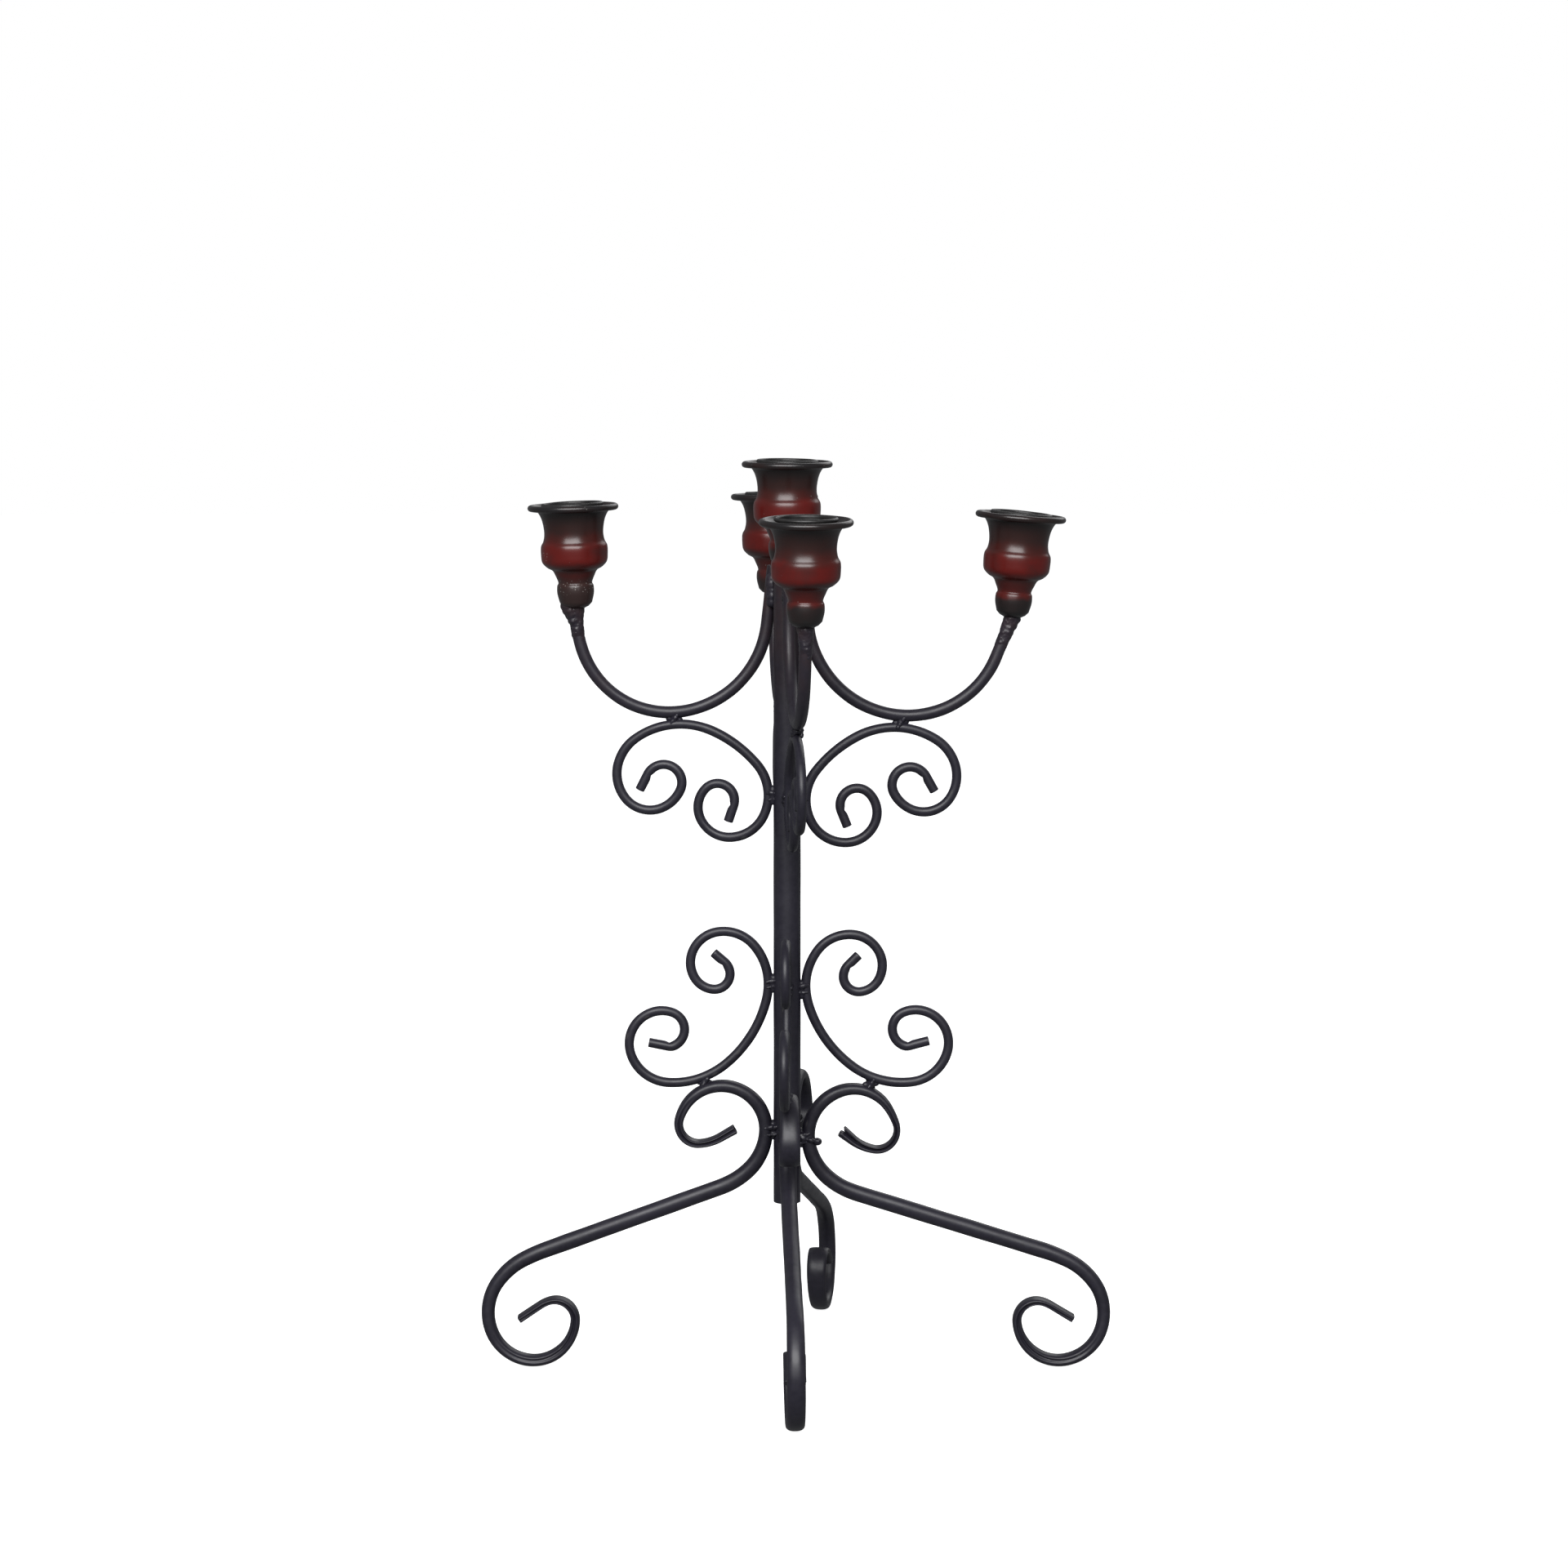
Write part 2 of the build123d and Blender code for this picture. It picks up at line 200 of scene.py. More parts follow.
def link(bm, name, sharp_angle=45):
    """Object of a finished bmesh, smooth apart from its sharp edges."""
    bmesh.ops.recalc_face_normals(bm, faces=bm.faces)
    mesh = bpy.data.meshes.new(name)
    bm.to_mesh(mesh)
    bm.free()
    mesh.shade_smooth()
    mesh.set_sharp_from_angle(angle=radians(sharp_angle))
    piece = bpy.data.objects.new(name, mesh)
    bpy.context.scene.collection.objects.link(piece)
    return piece


def belongs(piece, node, material):
    """A piece that stands for a CAD node, with its finish."""
    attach(piece, "root")
    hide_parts(node)
    piece.data.materials.clear()
    piece.data.materials.append(material)
    return piece


def roughen(bm, waves, seed):
    """Moves each point along its normal by soft noise."""
    amount, wavelength = waves
    bm.normal_update()
    shift = Vector((seed * 7.3, seed * 2.7, -seed * 4.1))
    moves = [v.normal * amount * MM * noise.noise(v.co / (wavelength * MM) + shift) for v in bm.verts]
    for vert, move in zip(bm.verts, moves):
        vert.co += move


def settle(bm, node):
    """Moves a piece so that its middle, and its foot, are where the CAD node's are. Returns the move."""
    low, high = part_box(node)
    own_low = Vector([min(v.co[i] for v in bm.verts) for i in range(3)])
    own_high = Vector([max(v.co[i] for v in bm.verts) for i in range(3)])
    move = (low + high - own_low - own_high) / 2
    move.z = low.z - own_low.z
    bmesh.ops.translate(bm, vec=move, verts=bm.verts)
    return move / MM


def skin(bm, rings, closed=False):
    """Faces between rings of points, with a cap on the first and the last ring."""
    for ring, following in zip(rings, rings[1:]):
        for i in range(len(ring)):
            j = (i + 1) % len(ring)
            bm.faces.new((ring[i], ring[j], following[j], following[i]))
    if closed:
        bm.faces.new(rings[0])
        bm.faces.new(rings[-1])


# Rods


def walk(heading, bends):
    """Centre line of a bent rod from (0, 0): rows of out, up, heading in radians, and distance."""
    out = up = travelled = 0.0
    angle = radians(heading)
    rows = [(out, up, angle, travelled)]
    for size, turn in bends:
        length = size * abs(radians(turn)) if turn else size
        steps = max(2, ceil(length / STEP))
        swing = radians(turn) / steps
        stride = 2 * size * sin(abs(swing) / 2) if turn else length / steps
        for _ in range(steps):
            out += stride * cos(angle + swing / 2)
            up += stride * sin(angle + swing / 2)
            angle += swing
            travelled += length / steps
            rows.append((out, up, angle, travelled))
    return rows


def both_ways(turn, ahead, behind):
    """Centre line through a weld, from the end of the bends behind it to the end of those ahead."""
    back = [(out, up, angle + pi, -far) for out, up, angle, far in reversed(walk(turn + 90, behind))]
    return back[:-1] + walk(turn - 90, ahead)


def moved_on(row, distance):
    """A row of a centre line, moved straight on along its heading."""
    out, up, angle, far = row
    return out + distance * cos(angle), up + distance * sin(angle), angle, far + distance


def with_ends(path, end):
    """The centre line as (row, how much smaller), with the rings of its two ends."""
    first = [(moved_on(path[0], back), smaller) for back, smaller in end]
    last = [(moved_on(path[-1], -back), smaller) for back, smaller in reversed(end)]
    return first + [(row, 0.0) for row in path[1:-1]] + last


class Plane:
    """Upright plane that a rod is bent in. Points in it are (out, up), and side is across it."""

    def __init__(self, azimuth):
        self.out = Vector((cos(radians(azimuth)), sin(radians(azimuth)), 0))
        self.side = Vector((self.out.y, -self.out.x, 0))
        self.origin = Vector((0, 0, 0))

    def at(self, out, up, side=0.0):
        return self.origin + self.out * out + UP * up + self.side * side


def sweep(bm, plane, stations, section):
    """Solid along a centre line. section gives a ring's offsets: in the plane, sideways and onward."""
    rings = []
    for (out, up, angle, far), smaller in stations:
        ring = []
        for inward, sideways, onward in section(far, smaller):
            at_out = out - sin(angle) * inward + cos(angle) * onward
            at_up = up + cos(angle) * inward + sin(angle) * onward
            place = plane.at(at_out, at_up, sideways)
            ring.append(bm.verts.new(place * MM))
        rings.append(ring)
    skin(bm, rings, closed=True)


def jaw_marks(path, bends_ahead, bends_behind):
    """Places where the rod's last straight begins, with the side that the bending jaw pinched."""
    marks = []
    if bends_behind:
        marks.append((path[0][3] + bends_behind[-1][0], copysign(1, -bends_behind[-2][1])))
    marks.append((path[-1][3] - bends_ahead[-1][0], copysign(1, bends_ahead[-2][1])))
    return marks


def round_section(radius, marks=()):
    """Ring of a round rod, nicked where the jaws pinched it."""

    def ring(far, smaller):
        points = []
        for i in range(RING):
            angle = 2 * pi * i / RING
            reach = radius - smaller
            for place, side in marks:
                pinch = exp(-(((far - place) / NICK_LENGTH) ** 2))
                reach -= NICK_DEPTH * pinch * max(0.0, side * cos(angle)) ** 5
            points.append((reach * cos(angle), reach * sin(angle), 0.0))
        return points

    return ring


def leg_thickness(far, knee_length, mouth):
    """Thickness of a leg's tube at a distance along it, in the plane of its bends."""
    if far < 0:
        return table_value(MOUTH_THICKNESS if mouth else CURL_THICKNESS, -far)
    if far < knee_length:
        return table_value(KNEE_THICKNESS, far)
    return table_value(FOOT_THICKNESS, far - knee_length)


def leg_crease(far, start, end, mouth):
    """Depth and place of the crease in the sides of a leg's tube, and how far its mouth is bitten out."""
    if far >= 0:
        return table_value(FOOT_CREASE, end - far), FOOT_CREASE_PLACE, 0.0
    if mouth:
        bite = table_value(MOUTH_BITE, far - start)
        return table_value(MOUTH_CREASE, far - start), MOUTH_CREASE_PLACE, bite
    return table_value(CURL_CREASE, far - start), CURL_CREASE_PLACE, 0.0


def leg_section(path, knee_length, mouth):
    """Ring of a leg's tube, flatter and creased towards its two pressed ends."""
    start, end = path[0][3], path[-1][3]

    def ring(far, smaller):
        thick = leg_thickness(far, knee_length, mouth)
        wide = 2 * TUBE_R + (2 * TUBE_R - thick) * WIDENING
        power = 1 - FLATTENING * (1 - thick / (2 * TUBE_R))
        half_thick, half_wide = thick / 2 - smaller, wide / 2 - smaller
        crease, crease_place, bite = leg_crease(far, start, end, mouth)
        points = []
        for i in range(LEG_RING):
            angle = 2 * pi * (i + 0.5) / LEG_RING
            over, along = cos(angle), sin(angle)
            inward = half_thick * copysign(abs(over) ** power, over)
            from_crease = (inward / half_thick - crease_place) / CREASE_WIDTH
            groove = exp(-(from_crease ** 2)) * abs(along) ** 3
            sideways = half_wide * copysign(abs(along) ** power, along) * (1 - crease * groove)
            points.append((inward, sideways, bite * groove))
        return points

    return ring


def make_rod(name, node, plane, path, section, end, seed, material):
    """Piece swept along a centre line and settled on its CAD node, where its plane then starts."""
    bm = bmesh.new()
    sweep(bm, plane, with_ends(path, end), section)
    roughen(bm, ROD_WAVES, seed)
    plane.origin = settle(bm, node)
    return belongs(link(bm, name), node, material)


# Turned pieces


def catmull_rom(before, start, end, after, t):
    """Value at a share of the way from start to end, on a curve that runs through all four."""
    square = 2 * before - 5 * start + 4 * end - after
    cube = 3 * start - before - 3 * end + after
    return 0.5 * (2 * start + (end - before) * t + square * t**2 + cube * t**3)


def smooth_line(points, per_span=6):
    """Smooth curve through points."""
    line = []
    padded = [points[0]] + list(points) + [points[-1]]
    for spans in zip(padded, padded[1:], padded[2:], padded[3:]):
        for step in range(per_span):
            line.append(tuple(catmull_rom(*values, step / per_span) for values in zip(*spans)))
    return line + [points[-1]]


def arc(centre, radius, start, end, steps=14):
    """Points on an arc between two angles in degrees."""
    angles = [radians(start + (end - start) * step / steps) for step in range(steps + 1)]
    return [(centre[0] + radius * cos(a), centre[1] + radius * sin(a)) for a in angles]


def revolve(bm, profile):
    """Solid turned from a profile of (radius, height) that starts and ends on the axis."""
    rings = []
    for radius, height in profile[1:-1]:
        ring = []
        for i in range(TURNED_SEGMENTS):
            angle = 2 * pi * i / TURNED_SEGMENTS
            ring.append(bm.verts.new(Vector((radius * cos(angle), radius * sin(angle), height)) * MM))
        rings.append(ring)
    skin(bm, rings)
    for ring, (_, height) in ((rings[0], profile[0]), (rings[-1], profile[-1])):
        middle = bm.verts.new((0, 0, height * MM))
        for i in range(TURNED_SEGMENTS):
            bm.faces.new((ring[i], ring[(i + 1) % TURNED_SEGMENTS], middle))


def cup_profile():
    """Spun cup: its foot, the outside, a rolled rim, the inside and its floor."""
    outside = smooth_line(CUP_OUTER)
    rim = arc((RIM_R - BEAD_R, CUP_HEIGHT - BEAD_R), BEAD_R, -130, 128, 26)
    inside = [(radius - CUP_WALL, height) for radius, height in CUP_OUTER[1:-2]]
    throat = smooth_line(CUP_THROAT + list(reversed(inside)))
    return CUP_FOOT + outside + rim + throat + [(0.0, inside[0][1])]


def liner_profile():
    """Thin candle liner with a rolled lip."""
    lip = arc((LINER_BORE_R + LINER_LIP_R, LINER_TOP - LINER_LIP_R), LINER_LIP_R, 190, -80, 20)
    outer_r = LINER_BORE_R + LINER_WALL
    floor = LINER_BOTTOM + LINER_WALL
    corner_middle = (LINER_BORE_R - LINER_CORNER_R, floor + LINER_CORNER_R)
    corner = arc(corner_middle, LINER_CORNER_R, -90, 0, 6)
    outside = [
        (outer_r, LINER_TOP - 2 * LINER_LIP_R),
        (outer_r, LINER_BOTTOM + LINER_CORNER_R),
        (outer_r - LINER_CORNER_R, LINER_BOTTOM),
    ]
    return [(0.0, floor)] + corner + lip + outside + [(0.0, LINER_BOTTOM)]


def post_profile():
    """Tube with its lower end open and its upper end plugged by weld metal."""
    low, high = POST_LOW.z, POST_HIGH.z
    bore = POST_R - POST_WALL
    inside = [(0.0, low + BORE_DEPTH), (bore, low + BORE_DEPTH), (bore, low + BORE_EDGE[1])]
    foot = [(bore + BORE_EDGE[0], low)] + [(POST_R + out, low + up) for out, up in POST_LOWER_EDGE]
    length = high - low - (POST_WALL_FROM + POST_WALL_TO)
    heights = [low + POST_WALL_FROM + length * step / POST_RINGS for step in range(POST_RINGS + 1)]
    top = [(POST_R + out, high + up) for out, up in POST_UPPER_EDGE]
    return inside + foot + [(POST_R, height) for height in heights] + top + [(0.0, high)]


def make_turned(name, node, profile, material, matrix, waves, seed):
    """Turned piece with its own axes, so that its material can follow its height."""
    bm = bmesh.new()
    revolve(bm, profile)
    roughen(bm, waves, seed)
    piece = link(bm, name, 60)
    piece.matrix_world = matrix
    return belongs(piece, node, material)


# Weld metal, in mm

WELD_VOXEL = 0.24
WELD_SMOOTHING = 14  # rounds of smoothing
# How far a collar of weld reaches from an arm's middle, by distance back from the arm's end.
COLLAR = [(-1, 3.6), (1.5, 3.35), (4, 3.15), (7, 3.0), (10, 2.85), (13.5, 2.55)]
COLLAR_START = -0.9
COLLAR_STEP = 0.42
COLLAR_STEPS = 34
COLLAR_CORE = 0.93  # radius of its core, as a share of its reach
COLLAR_LUMPS = (0.26, 0.4)  # radii of the lumps on it, as shares of its reach
COLLAR_SINK = (0.85, 1.1)  # how deep a lump sinks in, as a share of the lump's radius
CROWDED = 2.0  # distance from the arm's end within which the lumps are closer together
# The left cup's weld runs up its foot on the outer side: out, up and radius of lumps, from the arm's end.
LEFT_FLARE = [(1.4, -4.6, 2.1), (2.4, -2.4, 2.3), (3.4, -0.4, 2.5), (4.2, 1.4, 2.5)]
FLARE_HALF_WIDTH = 1.6
FLARE_SIDE_OUT = 0.75  # how far out its side lumps lie, as a share of its middle ones
FLARE_SIDE_SIZE = 0.9
# Weld between two bows: a bar across the gap, a core that fills it, and a crest on each flank.
BAR_OUT = 0.75  # a step
BAR_UP = 0.1
BAR_R = 1.7
BAR_TAPER = 0.1
BOW_CORE_R = 1.5
BOW_CORE_UP = 0.5
BOW_CORE_SIDE = 0.8
BOW_CREST_OUT = 2.6  # from end to end
BOW_CREST_UP = 3.6
BOW_CREST_SIDE = 1.75
BOW_CREST_RADII = (0.75, 1.05)
BOW_CREST_STEPS = 6
# Weld against the post: a web right between the post and a rod, and runs across the groove beside it.
WEB_R = 1.4
WEB_STEP = 0.45
WEB_OUT = 0.08  # share of the way from the post's face to the rod's middle
WEB_WIDTH = 0.6  # as a share of the rod's half width
WEB_TAPER = 9.0  # how far above and below its middle its width would come to nothing
UPPER_RUN = 0.95  # thickness of the upper and the lower run of a pair
LOWER_RUN = 0.62
RUN_STEPS = 6
RUN_ENDS = 0.82  # its thickness at its two ends
RUN_SWELL = 0.3  # how much thicker it is halfway
RUN_PAST_ROD = 0.4
RUN_SUNK = 0.1  # how far a run is sunk into the rod's flank
ROOT_DEPTH = 2.2  # how deep in the post a run starts
# The run that went right across the right leg's front and hangs there as a drop.
DRIP_STEPS = 11
DRIP_REACH = 7.2
DRIP_FALL = 1.6
DRIP_RISE = 0.5  # of its start above the weld's middle
DRIP_R = 0.95
DRIP_SWELL = 0.35  # waves in its thickness
DRIP_WAVES = 4.2  # half waves from end to end
DRIP_PROUD = 0.25  # how far its middle lies outside the leg's flank
DRIP_TURN = 0.7  # share of the way across where it starts to turn round the leg
DRIP_WRAP = 2.6
DROPS = [(6.9, -1.3, 1.2, 1.7), (7.4, -1.5, 2.4, 1.6)]  # out, up, in from the leg's flank, and radius


def blobs(bm, places):
    """Overlapping lumps of metal, given as (middle, radius) in mm."""
    for middle, radius in places:
        matrix = Matrix.Translation(middle * MM)
        bmesh.ops.create_icosphere(bm, subdivisions=3, radius=radius * MM, matrix=matrix)


def fused(bm):
    """Melts the overlapping lumps of a bmesh into one skin and returns it as a new bmesh."""
    mesh = bpy.data.meshes.new("molten")
    bm.to_mesh(mesh)
    bm.free()
    piece = bpy.data.objects.new("molten", mesh)
    bpy.context.scene.collection.objects.link(piece)
    remesh = piece.modifiers.new("fuse", "REMESH")
    remesh.mode = "VOXEL"
    remesh.voxel_size = WELD_VOXEL * MM
    relax = piece.modifiers.new("relax", "SMOOTH")
    relax.factor = 0.5
    relax.iterations = WELD_SMOOTHING
    bpy.context.view_layer.update()
    cooled = piece.evaluated_get(bpy.context.evaluated_depsgraph_get())
    result = bmesh.new()
    result.from_mesh(cooled.to_mesh())
    cooled.to_mesh_clear()
    bpy.data.objects.remove(piece)
    bpy.data.meshes.remove(mesh)
    return result


def make_weld(name, node, lumps, seed, material):
    """Weld of overlapping lumps, fused and uneven. Without any it starts from the CAD node's shape."""
    bm = bmesh.new()
    if lumps:
        blobs(bm, lumps)
    else:
        bm.from_mesh(frame["nodes"][node].data)
    bm = fused(bm)
    roughen(bm, WELD_WAVES, seed)
    roughen(bm, WELD_RIPPLES, seed + 3)
    return belongs(link(bm, name, 180), node, material)


def middle_of(node):
    """Middle of a CAD node's box, in mm."""
    low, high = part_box(node)
    return (low + high) / 2 / MM


def post_plane(azimuth):
    """Upright plane through the post's own axis."""
    plane = Plane(azimuth)
    plane.origin = Vector((POST_X, 0, 0))
    return plane


def ridge(plane, height, reach, flank, radius, lift, rng):
    """A run of weld across the groove between the post and a rod, on one flank of them."""
    places = []
    for step in range(RUN_STEPS + 1):
        along = step / RUN_STEPS
        out = POST_R - ROOT_DEPTH + (reach + ROOT_DEPTH) * along
        bulge = radius * (RUN_ENDS + RUN_SWELL * sin(pi * along)) * rng.uniform(0.9, 1.1)
        up = height + lift * (along - 0.5) + rng.uniform(-0.25, 0.25)
        places.append((plane.at(out, up, flank + rng.uniform(-0.2, 0.2)), bulge))
    return places


def row_before_end(path, back):
    """Row of a centre line at a distance back from its end, or straight on past it if that is negative."""
    end = path[-1]
    if back < 0:
        return moved_on(end, -back)
    return min(path, key=lambda row: abs(row[3] - end[3] + back))


def collar_lumps(plane, path, seed, flare):
    """Weld round the end of an arm, thin down its sides, that reaches up to the foot of the cup."""
    rng = Random(seed)
    end = path[-1]
    places = []
    for step in range(COLLAR_STEPS):
        back = COLLAR_START + COLLAR_STEP * step
        out, up, angle, _ = row_before_end(path, back)
        reach = table_value(COLLAR, back)
        for _ in range(3 if back > CROWDED else 5):
            around = rng.uniform(0, 2 * pi)
            size = reach * rng.uniform(*COLLAR_LUMPS)
            shift = reach - size * rng.uniform(*COLLAR_SINK)
            inward = shift * cos(around)
            spot = plane.at(out - sin(angle) * inward, up + cos(angle) * inward, shift * sin(around))
            places.append((spot, size))
        places.append((plane.at(out, up), reach * COLLAR_CORE))
    for along, rise, size in flare:
        places.append((plane.at(end[0] + along, end[1] + rise), size))
        for side in (FLARE_HALF_WIDTH, -FLARE_HALF_WIDTH):
            spot = plane.at(end[0] + along * FLARE_SIDE_OUT, end[1] + rise, side)
            places.append((spot, size * FLARE_SIDE_SIZE))
    return places


def bow_lumps(node, azimuth, seed):
    """Weld in the narrow gap between two bows, with a crest across it on both flanks."""
    rng = Random(seed)
    plane = Plane(azimuth)
    plane.origin = middle_of(node)
    places = []
    for step in range(-3, 4):
        places.append((plane.at(BAR_OUT * step, BAR_UP * step), BAR_R - BAR_TAPER * abs(step)))
    for step in (-1, 0, 1):
        for side in (-1, 0, 1):
            places.append((plane.at(0.0, BOW_CORE_UP * step, BOW_CORE_SIDE * side), BOW_CORE_R))
    for flank in (-1, 1):
        for step in range(BOW_CREST_STEPS + 1):
            along = step / BOW_CREST_STEPS - 0.5
            side = flank * (BOW_CREST_SIDE + rng.uniform(-0.15, 0.15))
            spot = plane.at(BOW_CREST_OUT * along * flank, BOW_CREST_UP * along, side)
            places.append((spot, rng.uniform(*BOW_CREST_RADII)))
    return places


def drip_lumps(azimuth, height):
    """Weld that ran right across the front of a leg and hangs as a drop on its far side."""
    plane = post_plane(azimuth)
    places = []
    for step in range(DRIP_STEPS + 1):
        across = step / DRIP_STEPS
        swell = DRIP_R + DRIP_SWELL * sin(DRIP_WAVES * pi * across)
        out = POST_R + DRIP_REACH * across
        up = height + DRIP_RISE - DRIP_FALL * across
        flank = TUBE_R + DRIP_PROUD - DRIP_WRAP * max(0.0, across - DRIP_TURN)
        places.append((plane.at(out, up, flank), swell))
    for out, up, inward, radius in DROPS:
        places.append((plane.at(POST_R + out, height + up, TUBE_R - inward), radius))
    return places


def tack_lumps(azimuth, height, rod_out, rod_half, radius, apart, lift, seed):
    """Two runs of weld on each flank of a rod that stands against the post, joined by a web."""
    rng = Random(seed)
    plane = post_plane(azimuth)
    places = []
    rod_middle = rod_out - POST_R
    for step in range(-6, 7):
        rise = WEB_STEP * step
        spread_out = rod_half * WEB_WIDTH * (1 - abs(rise) / WEB_TAPER)
        for flank in (-1, 0, 1):
            spot = plane.at(POST_R + rod_middle * WEB_OUT, height + rise, flank * spread_out)
            places.append((spot, WEB_R))
    for flank in (-1, 1):
        for step, share in ((-0.5, LOWER_RUN), (0.5, UPPER_RUN)):
            centre = height + step * apart + rng.uniform(-0.3, 0.3)
            side = flank * (rod_half - RUN_SUNK)
            reach = rod_middle + RUN_PAST_ROD
            places += ridge(plane, centre, reach, side, radius * share, lift * flank, rng)
    return places


# Finishes


def add_node(tree, kind, inputs=None, **settings):
    """Node with its settings, and a value or a link on each named input."""
    made = tree.nodes.new(kind)
    for setting, value in settings.items():
        setattr(made, setting, value)
    for socket, value in (inputs or {}).items():
        if isinstance(value, bpy.types.NodeSocket):
            tree.links.new(value, made.inputs[socket])
        else:
            made.inputs[socket].default_value = value
    return made


def place_of(tree):
    """Object coordinates, in metres."""
    return add_node(tree, "ShaderNodeTexCoord").outputs["Object"]


def cloud(tree, place, wavelength, seed, detail=2.0, low=0.0, high=1.0, from_low=0.3, from_high=0.7):
    """Soft noise with a wavelength in mm, spread from low to high."""
    inputs = {"Vector": place, "W": float(seed), "Scale": 1000.0 / wavelength, "Detail": detail}
    grain = add_node(tree, "ShaderNodeTexNoise", inputs, noise_dimensions="4D")
    return spread(tree, grain.outputs["Fac"], from_low, from_high, low, high)


def spread(tree, value, from_low, from_high, low=0.0, high=1.0):
    """Value moved softly from one range to another."""
    inputs = {"Value": value, "From Min": from_low, "From Max": from_high, "To Min": low, "To Max": high}
    return add_node(tree, "ShaderNodeMapRange", inputs, interpolation_type="SMOOTHSTEP").outputs["Result"]


def blend(tree, factor, first, second):
    """Colour between two colours, given as values or sockets."""
    mix = add_node(tree, "ShaderNodeMix", data_type="RGBA")
    for socket, value in (("Factor", factor), ("A", first), ("B", second)):
        wants_colour = socket != "Factor"
        named = [s for s in mix.inputs if s.name == socket]
        place = [s for s in named if (s.type == "RGBA") == wants_colour][0]
        if isinstance(value, bpy.types.NodeSocket):
            tree.links.new(value, place)
        elif socket == "Factor":
            place.default_value = value
        else:
            place.default_value = (*value, 1.0)
    return [s for s in mix.outputs if s.type == "RGBA"][0]


def sums(tree, operation, first, second):
    """Arithmetic on two values or sockets."""
    made = add_node(tree, "ShaderNodeMath", operation=operation)
    for place, value in enumerate((first, second)):
        if isinstance(value, bpy.types.NodeSocket):
            tree.links.new(value, made.inputs[place])
        else:
            made.inputs[place].default_value = value
    return made.outputs[0]


def height_of(tree, place):
    """Height in a piece's own coordinates, in metres."""
    return add_node(tree, "ShaderNodeSeparateXYZ", {"Vector": place}).outputs["Z"]


def new_finish(name, specular):
    """Material with its node tree and its shader."""
    material = bpy.data.materials.new(name)
    material.use_nodes = True
    tree = material.node_tree
    shader = tree.nodes["Principled BSDF"]
    shader.inputs["Specular IOR Level"].default_value = specular
    return material, tree, shader


def bumps(tree, shader, place, layers, seed):
    """Surface relief from layers of (wavelength, depth) in mm."""
    normal = None
    for count, (wavelength, depth) in enumerate(layers):
        height = cloud(tree, place, wavelength, seed + count, 3.0)
        inputs = {"Height": height, "Strength": 1.0, "Distance": depth * MM}
        if normal is not None:
            inputs["Normal"] = normal
        normal = add_node(tree, "ShaderNodeBump", inputs).outputs["Normal"]
    tree.links.new(normal, shader.inputs["Normal"])


# Colours are linear red, green and blue.
IRON_DARK = (0.0100, 0.0090, 0.0152)
IRON_LIGHT = (0.0162, 0.0148, 0.0238)
IRON_GRAIN = (0.0255, 0.0238, 0.0345)
IRON_WORN = (0.06, 0.058, 0.057)
RED_OVERSPRAY = (0.034, 0.0175, 0.0185)
OVERSPRAY_FROM = 0.262  # height in metres at which the overspray starts
OVERSPRAY_FULL = 0.335
ROD_ROUGHNESS = (0.38, 0.47)
ORANGE_PEEL = ((2.4, 0.008), (0.6, 0.002))


def iron_finish(name, seed, overspray=0.0, rough=ROD_ROUGHNESS, relief=ORANGE_PEEL):
    """Satin black paint on iron: cloudy, thin on edges, with red overspray near the cups."""
    material, tree, shader = new_finish(name, 0.45)
    place = place_of(tree)
    drift = cloud(tree, place, wavelength=34, seed=seed, detail=3.0)
    colour = blend(tree, drift, IRON_DARK, IRON_LIGHT)
    grain = cloud(tree, place, wavelength=2.2, seed=seed + 5, detail=3.0, high=0.4)
    colour = blend(tree, grain, colour, IRON_GRAIN)
    if overspray:
        rise = spread(tree, height_of(tree, place), OVERSPRAY_FROM, OVERSPRAY_FULL)
        patches = cloud(tree, place, wavelength=9, seed=seed + 9, detail=4.0, low=0.15)
        mist = sums(tree, "MULTIPLY", rise, patches)
        mist = sums(tree, "MULTIPLY", mist, overspray)
        colour = blend(tree, mist, colour, RED_OVERSPRAY)
    edge = add_node(tree, "ShaderNodeNewGeometry").outputs["Pointiness"]
    worn = spread(tree, edge, from_low=0.53, from_high=0.6, high=0.5)
    colour = blend(tree, worn, colour, IRON_WORN)
    tree.links.new(colour, shader.inputs["Base Color"])
    sheen = cloud(tree, place, wavelength=7, seed=seed + 2, detail=4.0, low=rough[0], high=rough[1])
    tree.links.new(sheen, shader.inputs["Roughness"])
    bumps(tree, shader, place, relief, seed + 20)
    return material


# Colour of a cup by the share of the way up it.
CUP_COLOURS = [
    (0.0, (0.009, 0.008, 0.008)),
    (0.15, (0.012, 0.0085, 0.0085)),
    (0.22, (0.072, 0.0065, 0.005)),
    (0.33, (0.048, 0.0055, 0.0045)),
    (0.385, (0.044, 0.0075, 0.0065)),
    (0.46, (0.096, 0.0045, 0.003)),
    (0.58, (0.092, 0.0045, 0.003)),
    (0.68, (0.044, 0.0062, 0.0045)),
    (0.78, (0.0225, 0.0078, 0.0066)),
    (0.92, (0.0135, 0.0082, 0.0078)),
    (1.0, (0.0105, 0.0098, 0.0108)),
]
KNOB_TOP = 0.3  # share of the way up a cup where its knob ends
SOOT = (0.027, 0.014, 0.0125)
SMOKE = (0.021, 0.0085, 0.0075)
# Colour of light specks: partly dust, partly painted glints off a rough surface.
DUST_AND_GLINT = (0.5, 0.48, 0.45)
SPECKS_PER_METRE = 900.0
CUP_RELIEF = ((5.0, 0.008), (0.7, 0.001))


